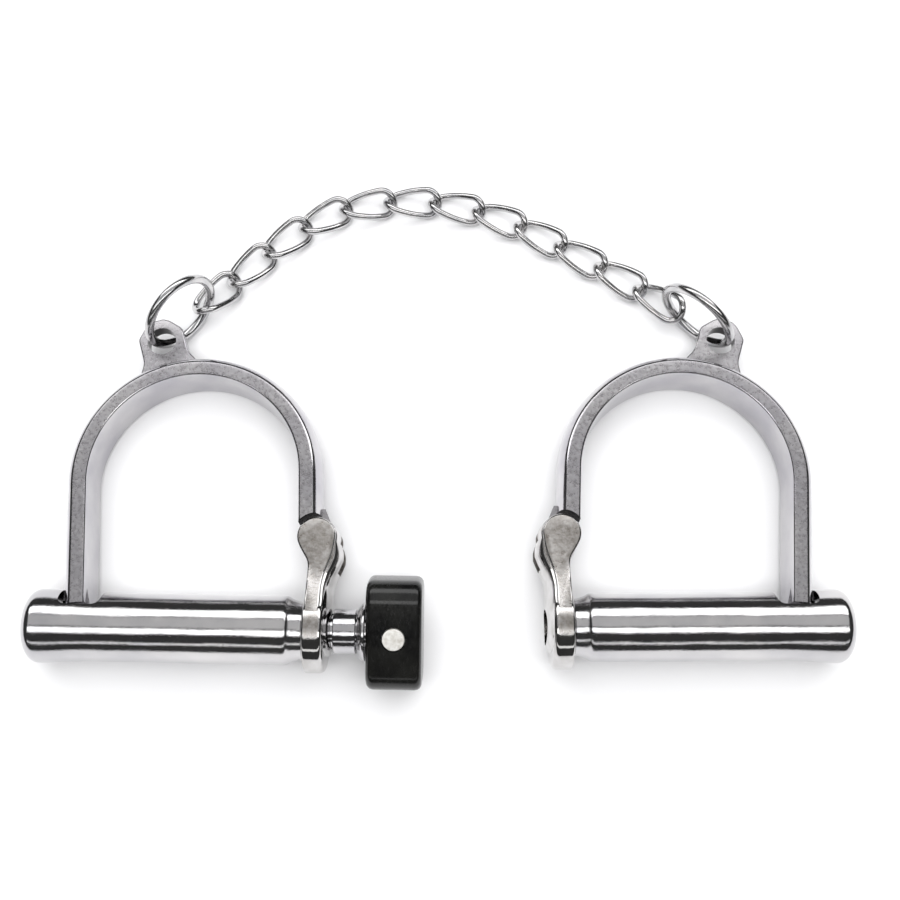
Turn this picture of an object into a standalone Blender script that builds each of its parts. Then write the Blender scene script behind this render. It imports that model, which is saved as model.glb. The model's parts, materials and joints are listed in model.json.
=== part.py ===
"""Pair of screw-key handcuffs: two hinged bows on tubular lock barrels, joined by rings and a twisted curb chain.

Each cuff is drawn once in its own frame, for the left hand of the pair. The origin of that frame is the centre
of the barrel's flared end, +X runs along the barrel to the hinge arm, +Y towards the top of the bow, and +Z
out of the bow's flat side. The right cuff is its mirror image. The set lies on Z = 0, chain towards +Y.
"""

import math

import bmesh
import bpy
from mathutils import Matrix, Vector

# Driving dimensions, in metres.
FIT_GAP = 0.0003            # clearance between neighbouring pieces

BARREL_LENGTH = 0.0676
BARREL_R = 0.0084
FLARE_R = 0.0090            # rounded, flared closed end
NECK_R = 0.0070             # tapered end that meets the hinge arm
BORE_R = 0.0062
PLUG_R = 0.0054

FOOT_R = 0.0102             # round foot of the hinge arm, on the barrel's axis
FOOT_X = BARREL_LENGTH + FIT_GAP
FOOT_THICK = 0.0051
STEM_X = 0.0682             # inner face of the arm's stem
STEM_THICK = 0.0038
STEM_CROWN = 0.0023         # how far the rounded outer face stands proud of its edges
KEYHOLE_R = 0.0043

PIN_X = 0.0699              # hinge pin
PIN_Y = 0.0223
PIN_R = 0.0016
KNUCKLE_R = 0.0048
KNUCKLE_SWELL = 0.0011     # how far the fork bulges out at mid-width
FORK_GAP = 0.0050
KNUCKLE_CLEARANCE = 0.0011

ARCH_X = 0.0381             # centre of the bow's round top
ARCH_Y = 0.0376
ARCH_R = 0.0264             # its inner radius
ARCH_START = math.radians(3.2)
ARCH_END = math.radians(185.2)
STRAP_WIDTH = 0.0130
STRAP_EDGE = 0.0032
STRAP_CROWN = 0.0025

NOTCH_LOW_X = 0.0082        # opening milled across the barrel for the bow's tongue
NOTCH_HIGH_X = 0.0184
NOTCH_FLOOR_Y = 0.0043
TONGUE_R = 0.0573           # inner face of the tongue, measured from the hinge pin
TONGUE_THICK = 0.0041
TONGUE_WIDTH = 0.0072
TONGUE_TIP_Y = -0.0047
CATCH_DEPTH = 0.0029
CATCH_HALF = 0.0025

LUG_ANGLE = math.radians(108)
LUG_HOLE_R = 0.0036
LUG_HOLE_RADIUS = 0.0392    # from the arch's centre to the hole
LUG_WIDTH = 0.0118
LUG_THICK = 0.0038
LUG_TOP = 0.0062            # from the hole to the end of the plate

BOLT_TIP_X = 0.0180         # tip of the drawn bolt
BOLT_NOSE_R = 0.0022
BOLT_HEAD_X = 0.0235
BOLT_HEAD_LENGTH = 0.0050
BOLT_STEM_R = 0.0026
BOLT_END_X = 0.0715
BUSH_X = 0.0500
BUSH_LENGTH = 0.0080
SPRING_R = 0.0046
SPRING_WIRE = 0.0009
SPRING_TURNS = 7

KEY_SHANK_R = 0.0055
KEY_NOSE_R = 0.0040
KEY_BORE_R = 0.0029
KEY_START_X = 0.0615
KEY_SHOULDER_X = 0.0748
KEY_TAIL_X = 0.0803
KEY_TAIL_R = 0.0040
FERRULE_LENGTH = 0.0020
HANDLE_LENGTH = 0.0135      # along the barrel
HANDLE_SPAN = 0.0270        # across the barrel
HANDLE_THICK = 0.0145
HANDLE_CORNER = 0.0050
HANDLE_TURN = math.radians(24)
CROSS_PIN_R = 0.0027

RING_R = 0.01015            # centreline of the round ring
RING_WIRE_R = 0.00125
LEFT_HEADING = math.radians(48)    # direction from each lug's hole along its ring
RIGHT_HEADING = math.radians(139)
LEFT_LEAN = math.radians(9)   # how far each ring leans away from its cuff
RIGHT_LEAN = 0
HOOK_ANGLE = math.radians(-54)   # where the end links hang in their rings
HOOK_GAP = 0.0011

LINK_LENGTH = 0.01635       # outside sizes of one chain link
LINK_WIDTH = 0.0088
LINK_WIRE_R = 0.00095
LINK_PITCH = LINK_LENGTH - 4 * LINK_WIRE_R - 0.00025
LINK_TWIST = math.radians(90)
LINK_HEADINGS = (48, 43, 38, 27, 9, -1, -12, -22, -29, -30, -31, -39)

LEFT_YAW = math.radians(-1.2)
RIGHT_YAW = math.radians(0.4)
LEFT_PLACE = (-0.1002, -0.0530)

CHROME = ("chrome", (0.80, 0.80, 0.81), 0.08, 1.0)
FORGED = ("forged_chrome", (0.66, 0.65, 0.64), 0.28, 1.0)
STEEL = ("plain_steel", (0.45, 0.45, 0.46), 0.35, 1.0)
BLACK = ("black_gloss", (0.012, 0.012, 0.013), 0.18, 0.0)
PALE = ("pale_alloy", (0.75, 0.76, 0.77), 0.32, 1.0)


def clear_scene():
    """Remove every object and collection of the open file."""
    for thing in list(bpy.data.objects):
        bpy.data.objects.remove(thing)
    for group in list(bpy.data.collections):
        bpy.data.collections.remove(group)


clear_scene()
PARTS = bpy.data.collections.new("handcuffs")
CUTTERS = bpy.data.collections.new("cutters")
bpy.context.scene.collection.children.link(PARTS)
bpy.context.scene.collection.children.link(CUTTERS)


def material(name, finish):
    """A Principled material for one piece, from a (label, colour, roughness, metallic) finish."""
    label, colour, roughness, metallic = finish
    made = bpy.data.materials.new(f"{name}_{label}")
    made.use_nodes = True
    shader = made.node_tree.nodes["Principled BSDF"]
    shader.inputs["Base Color"].default_value = (*colour, 1.0)
    shader.inputs["Roughness"].default_value = roughness
    shader.inputs["Metallic"].default_value = metallic
    made.diffuse_color = (*colour, 1.0)
    return made


def add_piece(name, data, finish, parent, collection=None):
    """Link a mesh or curve as a named object with its own material, under a parent empty."""
    piece = bpy.data.objects.new(name, data)
    (collection or PARTS).objects.link(piece)
    piece.parent = parent
    if finish:
        data.materials.append(material(name, finish))
    return piece


def add_empty(name, parent=None, location=(0, 0, 0)):
    """An axis or a frame that pieces hang from."""
    empty = bpy.data.objects.new(name, None)
    PARTS.objects.link(empty)
    empty.parent = parent
    empty.location = location
    empty.empty_display_size = 0.005
    return empty


def add_cutter(name, mesh, parent):
    """A hidden solid that a Boolean takes away or joins."""
    cutter = add_piece(name, mesh, None, parent, CUTTERS)
    cutter.hide_render = True
    cutter.display_type = "WIRE"
    return cutter


def boolean(piece, other, operation="DIFFERENCE"):
    """Cut a piece with another solid, or join the two."""
    step = piece.modifiers.new(other.name, "BOOLEAN")
    step.operation = operation
    step.object = other
    step.solver = "EXACT"
    return step


def smooth(mesh, angle=30):
    """Smooth shading that keeps edges sharper than the angle."""
    mesh.shade_smooth()
    mesh.set_sharp_from_angle(angle=math.radians(angle))


def prism(name, outline, low, high):
    """A flat outline of (x, y) points made solid between two heights."""
    shape = bmesh.new()
    base = shape.faces.new([shape.verts.new((x, y, low)) for x, y in outline])
    grown = bmesh.ops.extrude_face_region(shape, geom=[base])
    top = [item for item in grown["geom"] if isinstance(item, bmesh.types.BMVert)]
    bmesh.ops.translate(shape, verts=top, vec=(0, 0, high - low))
    bmesh.ops.recalc_face_normals(shape, faces=shape.faces)
    mesh = bpy.data.meshes.new(name)
    shape.to_mesh(mesh)
    shape.free()
    return mesh


def cylinder(name, radius, low, high, axis="Z", centre=(0, 0), segments=32):
    """A round bar between two positions along X, Y or Z."""
    turn = {"X": Matrix.Rotation(math.radians(90), 4, "Y"), "Y": Matrix.Rotation(math.radians(-90), 4, "X"),
            "Z": Matrix.Identity(4)}[axis]
    along = turn @ Vector((0, 0, (low + high) / 2))
    side = {"X": Vector((0, *centre)), "Y": Vector((centre[0], 0, centre[1])), "Z": Vector((*centre, 0))}[axis]
    shape = bmesh.new()
    bmesh.ops.create_cone(shape, cap_ends=True, segments=segments, radius1=radius, radius2=radius,
                          depth=high - low, matrix=Matrix.Translation(along + side) @ turn)
    mesh = bpy.data.meshes.new(name)
    shape.to_mesh(mesh)
    shape.free()
    smooth(mesh)
    return mesh


def turned(name, profile, finish, parent, steps, closed):
    """A piece turned about the X axis from (x, radius) points, given from its +X end down the outside."""
    mesh = bpy.data.meshes.new(name)
    rim = [(radius, 0, x) for x, radius in profile]
    joins = [(k, k + 1) for k in range(len(rim) - 1)]
    if closed:
        joins.append((len(rim) - 1, 0))
    mesh.from_pydata(rim, joins, [])
    piece = add_piece(name, mesh, finish, parent)
    piece.rotation_euler = (0, math.radians(90), 0)
    spin = piece.modifiers.new("turn", "SCREW")
    spin.steps = steps
    spin.render_steps = steps
    spin.use_merge_vertices = True
    spin.merge_threshold = 0.000001
    spin.use_smooth_shade = True
    return piece


def tube(name, points, radius, finish, parent, closed, resolution=2):
    """A round wire along a list of points, closed on itself or with filled ends."""
    path = bpy.data.curves.new(name, "CURVE")
    path.dimensions = "3D"
    line = path.splines.new("POLY")
    line.points.add(len(points) - 1)
    for knot, place in zip(line.points, points):
        knot.co = (*place, 1)
    line.use_cyclic_u = closed
    path.bevel_depth = radius
    path.bevel_resolution = resolution
    path.use_fill_caps = not closed
    return add_piece(name, path, finish, parent)


def arc(centre, radius, start, end, steps):
    """Points on an arc between two angles, both ends included."""
    angles = [start + (end - start) * k / steps for k in range(steps + 1)]
    return [(centre[0] + radius * math.cos(a), centre[1] + radius * math.sin(a)) for a in angles]


def barrel(parent):
    """Drawn steel tube: tapered neck, straight body, flared and rounded closed end, bow opening across it."""
    neck = [(BARREL_LENGTH, NECK_R), (BARREL_LENGTH - 0.0012, NECK_R + 0.0001),
            (BARREL_LENGTH - 0.0032, NECK_R + 0.0006), (BARREL_LENGTH - 0.0046, BARREL_R - 0.0001),
            (BARREL_LENGTH - 0.0050, BARREL_R)]
    flare = [(0.0125 - 0.0077 * k / 3, BARREL_R + (FLARE_R - BARREL_R) * (1 - math.cos(math.pi * k / 3)) / 2)
             for k in range(4)]
    rim = [(0.0036 * (1 - math.sin(a)), 0.0060 + (FLARE_R - 0.0060) * math.cos(a))
           for a in (math.radians(22.5 * k) for k in range(5))]
    inside = [(0.0, PLUG_R), (0.0036, PLUG_R), (0.0036, BORE_R), (BARREL_LENGTH, BORE_R)]
    piece = turned("barrel", neck + flare + rim + inside, CHROME, parent, 32, True)
    corner = 0.0022
    low_corner = arc((NOTCH_LOW_X + corner, NOTCH_FLOOR_Y + corner), corner, math.pi, 1.5 * math.pi, 5)
    high_corner = arc((NOTCH_HIGH_X - corner, NOTCH_FLOOR_Y + corner), corner, 1.5 * math.pi, 2 * math.pi, 5)
    outline = low_corner + high_corner + [(NOTCH_HIGH_X, 0.012), (NOTCH_LOW_X, 0.012)]
    boolean(piece, add_cutter("bow_opening", prism("bow_opening", outline, -0.010, 0.010), parent))
    return piece


def end_plug(parent):
    """Flanged plug that closes the flared end from the inside, with a flat outer face."""
    flange_r = BORE_R - FIT_GAP
    profile = [(0.0056, 0.0), (0.0056, flange_r), (0.0036 + FIT_GAP, flange_r),
               (0.0036 + FIT_GAP, PLUG_R - FIT_GAP), (0.0004, PLUG_R - FIT_GAP),
               (0.0001, PLUG_R - 0.0006), (0.0001, 0.0)]
    return turned("end_plug", profile, CHROME, parent, 28, False)


def smoothstep(value):
    """0 below 0, 1 above 1, and a smooth rise between."""
    value = min(max(value, 0.0), 1.0)
    return value * value * (3 - 2 * value)


def arm_outline():
    """Side outline of the arm as (x, y, swell): swell is how far the rounded outer face stands out at mid-width."""
    inner = [(STEM_X, -0.0078, 0.0), (STEM_X, 0.0020, 0.0), (STEM_X, 0.0100, 0.0), (STEM_X, 0.0152, 0.0),
             (STEM_X - 0.0005, 0.0168, 0.0), (STEM_X - 0.0015, 0.0182, 0.0)]
    knuckle = []
    for x, y in arc((PIN_X, PIN_Y), KNUCKLE_R, math.radians(214), math.radians(-12), 12):
        outward = max(0.0, (x - PIN_X) / KNUCKLE_R)
        knuckle.append((x, y, KNUCKLE_SWELL * outward ** 2))
    edge = STEM_X + STEM_THICK
    outer = [(edge + 0.0023, 0.0190, 0.0025), (edge + 0.0018, 0.0170, 0.0030), (edge + 0.0011, 0.0150, 0.0029),
             (edge + 0.0004, 0.0128, 0.0026), (edge, 0.0100, STEM_CROWN), (edge, 0.0020, STEM_CROWN),
             (edge, -0.0045, STEM_CROWN), (edge - 0.0006, -0.0078, 0.0012)]
    return inner + knuckle + outer


def hinge_arm(parent):
    """Forging on the barrel's neck: round foot with the keyhole, half-round stem and forked knuckle."""
    outline = arm_outline()
    levels = [math.sin(math.radians(angle)) for angle in (-90, -60, -36, -12, 12, 36, 60, 90)]
    shape = bmesh.new()
    rows = []
    for level in levels:
        crown = math.sqrt(1 - level * level)
        row = []
        for x, y, swell in outline:
            half_width = STRAP_WIDTH / 2 + 0.0010 * smoothstep((0.014 - y) / 0.008)
            row.append(shape.verts.new((x + swell * crown, y, level * half_width)))
        rows.append(row)
    count = len(outline)
    for low, high in zip(rows, rows[1:]):
        for k in range(count):
            after = (k + 1) % count
            shape.faces.new((low[k], low[after], high[after], high[k]))
    shape.faces.new(rows[0])
    shape.faces.new(rows[-1])
    bmesh.ops.recalc_face_normals(shape, faces=shape.faces)
    bmesh.ops.triangulate(shape, faces=shape.faces)
    mesh = bpy.data.meshes.new("hinge_arm")
    shape.to_mesh(mesh)
    shape.free()
    smooth(mesh)
    piece = add_piece("hinge_arm", mesh, FORGED, parent)

    foot_end = FOOT_X + FOOT_THICK
    spigot_r = BORE_R - FIT_GAP
    foot_profile = [(foot_end, 0.0), (foot_end, FOOT_R - 0.0016), (foot_end - 0.0005, FOOT_R - 0.0005),
                    (foot_end - 0.0016, FOOT_R), (FOOT_X + 0.0006, FOOT_R), (FOOT_X, FOOT_R - 0.0006),
                    (FOOT_X, spigot_r), (FOOT_X - 0.0035, spigot_r), (FOOT_X - 0.0038, spigot_r - 0.0003),
                    (FOOT_X - 0.0038, 0.0)]
    foot = turned("arm_foot", foot_profile, None, parent, 32, False)
    PARTS.objects.unlink(foot)
    CUTTERS.objects.link(foot)
    foot.hide_render = True
    foot.display_type = "WIRE"
    boolean(piece, foot, "UNION")

    key_way = cylinder("key_way", KEYHOLE_R, 0.055, 0.080, "X")
    boolean(piece, add_cutter("key_way", key_way, parent))
    fork = [(0.060, 0.0158), (0.0705, 0.0158), (0.080, 0.0118), (0.080, 0.030), (0.060, 0.030)]
    boolean(piece, add_cutter("fork_gap", prism("fork_gap", fork, -FORK_GAP / 2, FORK_GAP / 2), parent))
    pin_bore = cylinder("pin_bore", PIN_R + FIT_GAP, -0.0080, STRAP_WIDTH / 2 - 0.0010, "Z", (PIN_X, PIN_Y), 20)
    boolean(piece, add_cutter("pin_bore", pin_bore, parent))
    return piece


def hinge_pin(parent):
    """Plain pin, driven into the knuckle from the back and ground flush."""
    low = -STRAP_WIDTH / 2 + 0.0001
    high = STRAP_WIDTH / 2 - 0.0010 - FIT_GAP
    piece = add_piece("hinge_pin", cylinder("hinge_pin", PIN_R, low, high, "Z", segments=20), STEEL, parent)
    piece.location = (PIN_X, PIN_Y, 0)
    return piece


def strap_section(turns=6):
    """Half-round bar section as (outward, across) points: flat inner face, square edges, crowned outer face."""
    half = STRAP_WIDTH / 2
    soft = 0.0004
    flat = [(soft, half), (0.0, half - soft), (0.0, soft - half), (soft, -half)]
    crown = []
    for k in range(turns + 1):
        across = -half + STRAP_WIDTH * k / turns
        rise = math.sqrt(max(0.0, 1 - (across / half) ** 2))
        crown.append((STRAP_EDGE + STRAP_CROWN * rise, across))
    return flat + crown


def bow(parent):
    """Half-round bar bent to a D, with a hinge eye at one end, a notched tongue at the other and the ring lug."""
    shape = bmesh.new()
    start = Vector((math.cos(ARCH_START), math.sin(ARCH_START), 0))
    down = Vector((math.sin(ARCH_START), -math.cos(ARCH_START), 0))
    centre = Vector((ARCH_X, ARCH_Y, 0))
    leg_top = centre + start * ARCH_R
    leg_length = (leg_top.y - PIN_Y - 0.0020) / math.cos(ARCH_START)
    corners = []
    for outward, across in strap_section():
        corners.append(shape.verts.new(leg_top + down * leg_length + start * outward + Vector((0, 0, across))))
    face = shape.faces.new(corners)
    grown = bmesh.ops.extrude_face_region(shape, geom=[face])["geom"]
    bmesh.ops.translate(shape, verts=[v for v in grown if isinstance(v, bmesh.types.BMVert)],
                        vec=-down * leg_length)
    front = [item for item in grown if isinstance(item, bmesh.types.BMFace)]
    swept = bmesh.ops.spin(shape, geom=front, cent=centre, axis=(0, 0, 1), angle=ARCH_END - ARCH_START, steps=22)
    inner_faces = front
    front = [item for item in swept["geom_last"] if isinstance(item, bmesh.types.BMFace)]
    inner_faces = inner_faces + front
    low_side = Vector((math.cos(ARCH_END), math.sin(ARCH_END), 0))
    onward = Vector((-math.sin(ARCH_END), math.cos(ARCH_END), 0))
    drop = ((centre + low_side * ARCH_R).y - NOTCH_FLOOR_Y - 0.0007) / -onward.y
    grown = bmesh.ops.extrude_face_region(shape, geom=front)["geom"]
    bmesh.ops.translate(shape, verts=[v for v in grown if isinstance(v, bmesh.types.BMVert)], vec=onward * drop)
    bmesh.ops.delete(shape, geom=inner_faces, context="FACES_ONLY")
    bmesh.ops.recalc_face_normals(shape, faces=shape.faces)
    bmesh.ops.translate(shape, verts=shape.verts, vec=(-PIN_X, -PIN_Y, 0))
    mesh = bpy.data.meshes.new("bow")
    shape.to_mesh(mesh)
    shape.free()
    smooth(mesh)
    piece = add_piece("bow", mesh, CHROME, parent)

    around_knuckle = cylinder("knuckle_clearance", KNUCKLE_R + KNUCKLE_CLEARANCE, -0.008, 0.008)
    boolean(piece, add_cutter("knuckle_clearance", around_knuckle, parent))
    eye_half = FORK_GAP / 2 - FIT_GAP
    eye = arc((0, 0), KNUCKLE_R - 0.0003, math.radians(170), math.radians(372), 20)
    eye += [(0.0014, 0.0078), (-0.0043, 0.0078)]
    boolean(piece, add_cutter("hinge_eye", prism("hinge_eye", eye, -eye_half, eye_half), parent), "UNION")
    eye_bore = cylinder("eye_bore", PIN_R + FIT_GAP, -0.008, 0.008, segments=20)
    boolean(piece, add_cutter("eye_bore", eye_bore, parent))

    boolean(piece, add_cutter("tongue", prism("tongue", tongue_outline(), -TONGUE_WIDTH / 2, TONGUE_WIDTH / 2),
                              parent), "UNION")
    boolean(piece, add_cutter("lug", prism("lug", lug_outline(), -LUG_THICK / 2, LUG_THICK / 2), parent), "UNION")
    hole = lug_hole() - Vector((PIN_X, PIN_Y, 0))
    hole_mesh = cylinder("lug_hole", LUG_HOLE_R, -0.006, 0.006, centre=hole[:2], segments=28)
    boolean(piece, add_cutter("lug_hole", hole_mesh, parent))
    return piece


def tongue_outline():
    """Tongue that follows a circle about the hinge pin, so that it swings out of the barrel, with its catch."""
    def at(radius, y):
        drop = PIN_Y - y
        return (-math.sqrt(radius * radius - drop * drop), -drop)

    outer_r = TONGUE_R + TONGUE_THICK
    steps = 6
    top = 0.0100
    outer = [at(outer_r, top + (TONGUE_TIP_Y + 0.0008 - top) * k / steps) for k in range(steps + 1)]
    tip = [at(outer_r - 0.0008, TONGUE_TIP_Y), at(TONGUE_R + 0.0006, TONGUE_TIP_Y)]
    catch = [at(TONGUE_R, TONGUE_TIP_Y + 0.0006), at(TONGUE_R, -CATCH_HALF),
             at(TONGUE_R + CATCH_DEPTH, -CATCH_HALF), at(TONGUE_R + CATCH_DEPTH, CATCH_HALF),
             at(TONGUE_R, CATCH_HALF)]
    inner = [at(TONGUE_R, CATCH_HALF + (top - CATCH_HALF) * k / 4) for k in range(1, 5)]
    return outer + tip + catch + inner


def lug_hole():
    """Centre of the ring's hole in the cuff's frame."""
    return Vector((ARCH_X + LUG_HOLE_RADIUS * math.cos(LUG_ANGLE),
                   ARCH_Y + LUG_HOLE_RADIUS * math.sin(LUG_ANGLE), 0))


def lug_outline():
    """Flat plate that stands on the bow: splayed foot, straight sides and a head with cut corners."""
    half = LUG_WIDTH / 2
    foot = ARCH_R + 0.0030
    sides = [(foot, half + 0.0022), (ARCH_R + STRAP_EDGE + STRAP_CROWN, half + 0.0016),
             (ARCH_R + STRAP_EDGE + STRAP_CROWN + 0.0022, half), (LUG_HOLE_RADIUS + 0.0022, half),
             (LUG_HOLE_RADIUS + LUG_TOP - 0.0010, half - 0.0026), (LUG_HOLE_RADIUS + LUG_TOP, half - 0.0042)]
    outline = []
    for radius, across in sides + [(radius, -across) for radius, across in reversed(sides)]:
        out = Vector((math.cos(LUG_ANGLE), math.sin(LUG_ANGLE)))
        along = Vector((-out.y, out.x))
        spot = Vector((ARCH_X, ARCH_Y)) + out * radius + along * across - Vector((PIN_X, PIN_Y))
        outline.append(tuple(spot))
    return outline


def lock_bolt(parent):
    """Sliding bolt: bevelled nose for the catch, guide head, plain stem and tail for the key's thread."""
    head_end = BOLT_HEAD_X + BOLT_HEAD_LENGTH
    head_r = BORE_R - FIT_GAP
    tail_r = BOLT_STEM_R - 0.0003
    profile = [(BOLT_END_X, 0.0), (BOLT_END_X, tail_r - 0.0005), (BOLT_END_X - 0.0006, tail_r),
               (0.0600, tail_r), (0.0597, BOLT_STEM_R), (head_end, BOLT_STEM_R), (head_end, head_r),
               (BOLT_HEAD_X, head_r), (BOLT_HEAD_X, BOLT_NOSE_R), (BOLT_TIP_X + 0.0012, BOLT_NOSE_R),
               (BOLT_TIP_X, BOLT_NOSE_R - 0.0010), (BOLT_TIP_X, 0.0)]
    return turned("lock_bolt", profile, STEEL, parent, 20, False)


def guide_bush(parent):
    """Bush fixed in the bore: it guides the bolt's stem and backs the spring."""
    end = BUSH_X + BUSH_LENGTH
    outer_r = BORE_R - FIT_GAP
    inner_r = BOLT_STEM_R + FIT_GAP
    profile = [(end, outer_r - 0.0004), (end - 0.0004, outer_r), (BUSH_X, outer_r), (BUSH_X, inner_r),
               (end, inner_r)]
    return turned("guide_bush", profile, STEEL, parent, 20, True)


def bolt_spring(parent):
    """Round-wire compression spring between the bolt's head and the bush."""
    start = BOLT_HEAD_X + BOLT_HEAD_LENGTH + SPRING_WIRE / 2 + FIT_GAP
    end = BUSH_X - SPRING_WIRE / 2 - FIT_GAP
    around = 8
    count = SPRING_TURNS * around
    points = []
    for k in range(count + 1):
        angle = 2 * math.pi * k / around
        points.append((start + (end - start) * k / count, SPRING_R * math.cos(angle), SPRING_R * math.sin(angle)))
    return tube("bolt_spring", points, SPRING_WIRE / 2, STEEL, parent, False, 1)


def key(parent):
    """Screw key: hollow shank with a threaded nose, ferrule, moulded black handle and its cross pin."""
    tail_end = KEY_TAIL_X + FERRULE_LENGTH + 0.0110
    shank_profile = [(tail_end, 0.0), (tail_end, KEY_TAIL_R), (KEY_TAIL_X, KEY_TAIL_R),
                     (KEY_TAIL_X, KEY_SHANK_R), (KEY_SHOULDER_X + 0.0004, KEY_SHANK_R),
                     (KEY_SHOULDER_X, KEY_SHANK_R - 0.0004), (KEY_SHOULDER_X, KEY_NOSE_R),
                     (KEY_START_X, KEY_NOSE_R), (KEY_START_X, KEY_BORE_R), (0.0755, KEY_BORE_R),
                     (0.0765, 0.0)]
    shank = turned("key_shank", shank_profile, CHROME, parent, 24, False)

    ferrule_x = KEY_TAIL_X + FIT_GAP
    handle_x = ferrule_x + FERRULE_LENGTH + FIT_GAP
    hole_r = KEY_TAIL_R + FIT_GAP
    ferrule_profile = [(ferrule_x + FERRULE_LENGTH, 0.0072), (ferrule_x + FERRULE_LENGTH - 0.0005, 0.0072),
                       (ferrule_x + 0.0006, 0.0059), (ferrule_x, 0.0055), (ferrule_x, hole_r),
                       (ferrule_x + FERRULE_LENGTH, hole_r)]
    turned("key_ferrule", ferrule_profile, CHROME, parent, 24, True)

    grip = add_empty("key_grip", parent)
    grip.rotation_euler = (HANDLE_TURN, 0, 0)
    half_span = HANDLE_SPAN / 2 - HANDLE_CORNER
    half_thick = HANDLE_THICK / 2 - HANDLE_CORNER
    outline = []
    for quarter, (side, face) in enumerate(((1, 1), (-1, 1), (-1, -1), (1, -1))):
        start = math.radians(90 * quarter)
        outline += arc((side * half_thick, face * half_span), HANDLE_CORNER, start, start + math.radians(90), 4)
    block = prism("key_handle", outline, handle_x, handle_x + HANDLE_LENGTH)
    block.transform(Matrix.Rotation(math.radians(90), 4, "Y"))
    smooth(block, 40)
    handle = add_piece("key_handle", block, BLACK, grip)
    rounding = handle.modifiers.new("rounding", "BEVEL")
    rounding.width = 0.0011
    rounding.segments = 2
    rounding.limit_method = "ANGLE"
    rounding.angle_limit = math.radians(50)
    socket = cylinder("tail_socket", hole_r, handle_x - 0.004, tail_end + FIT_GAP, "X", segments=28)
    boolean(handle, add_cutter("tail_socket", socket, grip))
    pin_x = handle_x + HANDLE_LENGTH / 2
    pin_bore = cylinder("cross_bore", CROSS_PIN_R + FIT_GAP, -0.012, 0.012, "Z", (pin_x, 0), 28)
    bore = add_cutter("cross_bore", pin_bore, grip)
    boolean(handle, bore)
    boolean(shank, bore)
    pin_half = HANDLE_THICK / 2 + 0.0001
    rivet = cylinder("key_cross_pin", CROSS_PIN_R, -pin_half, pin_half, "Z", segments=28)
    pin = add_piece("key_cross_pin", rivet, PALE, grip)
    pin.location = (pin_x, 0, 0)


def cuff(frame):
    """Every piece of one cuff under its frame. The key is separate."""
    bolt_axis = add_empty("bolt_slide", frame)
    bow_axis = add_empty("bow_hinge", frame, (PIN_X, PIN_Y, 0))
    return [barrel(frame), end_plug(frame), hinge_arm(frame), hinge_pin(frame), guide_bush(frame),
            bolt_spring(frame), lock_bolt(bolt_axis), bow(bow_axis)]


def link_points(steps=6):
    """Centreline of a twisted curb link lying along X: a stadium whose plane turns steadily along its length."""
    end_r = LINK_WIDTH / 2 - LINK_WIRE_R
    straight = LINK_LENGTH / 2 - LINK_WIRE_R - end_r
    loop = []
    loop += arc((straight, 0), end_r, -math.pi / 2, math.pi / 2, steps)
    loop += [(straight * part, end_r) for part in (0.5, 0.0, -0.5)]
    loop += arc((-straight, 0), end_r, math.pi / 2, 1.5 * math.pi, steps)
    loop += [(straight * part, -end_r) for part in (-0.5, 0.0, 0.5)]
    points = []
    for x, across in loop:
        turn = LINK_TWIST * x / (LINK_LENGTH - 2 * LINK_WIRE_R)
        points.append(Vector((x, across * math.cos(turn), across * math.sin(turn))))
    return points


def flat_heading(angle):
    """Unit vector in the plane of the table."""
    return Vector((math.cos(angle), math.sin(angle), 0))


def ring_spots(heading, side, lean, hole_height):
    """Where a ring stands on its edge: its directions, and its lug end and link end from its centre."""
    along = flat_heading(heading)
    outward = Vector((-along.y, along.x, 0)) * side
    upward = Vector((0, 0, math.cos(lean))) + outward * math.sin(lean)
    rise = (hole_height - RING_WIRE_R) / (RING_R * math.cos(lean)) - 1
    hole_angle = math.pi - math.asin(rise)
    to_hole = RING_R * (along * math.cos(hole_angle) + upward * math.sin(hole_angle))
    hook_r = RING_R - RING_WIRE_R - LINK_WIRE_R - HOOK_GAP
    to_hook = hook_r * (along * math.cos(HOOK_ANGLE) + upward * math.sin(HOOK_ANGLE))
    return along, upward, to_hole, to_hook


def add_ring(name, centre, along, upward, pivot):
    """Round wire ring with its origin at the lug's hole, where it turns."""
    points = []
    for k in range(28):
        angle = 2 * math.pi * k / 28
        points.append(centre + RING_R * (along * math.cos(angle) + upward * math.sin(angle)) - pivot)
    piece = tube(name, points, RING_WIRE_R, CHROME, None, True)
    piece.location = pivot
    return piece


def add_link(name, centre, direction, hinge):
    """One chain link along a direction, with its origin where it hangs in the piece before it."""
    level = Vector((-direction.y, direction.x, 0)).normalized()
    turn = Matrix((direction, level, direction.cross(level))).transposed()
    points = [turn @ spot + centre - hinge for spot in link_points()]
    piece = tube(name, points, LINK_WIRE_R, CHROME, None, True)
    piece.location = hinge
    return piece


def cuff_attitude(side, yaw):
    """How a cuff lies on the table: on its foot, its flared end and the top edge of its bow."""
    foot_middle = FOOT_X + FOOT_THICK / 2
    roll = math.asin((FOOT_R - FLARE_R) / (foot_middle - 0.0036))
    axis_height = FLARE_R + (ARCH_X - 0.0036) * math.sin(roll)
    lean = math.asin((axis_height - STRAP_WIDTH / 2) / (ARCH_Y + ARCH_R + STRAP_EDGE))
    turn = Matrix.Rotation(yaw, 4, "Z") @ Matrix.Rotation(-side * roll, 4, "Y") @ Matrix.Rotation(-lean, 4, "X")
    height = FLARE_R - 0.0036 * math.sin(roll)
    return turn, height


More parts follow.
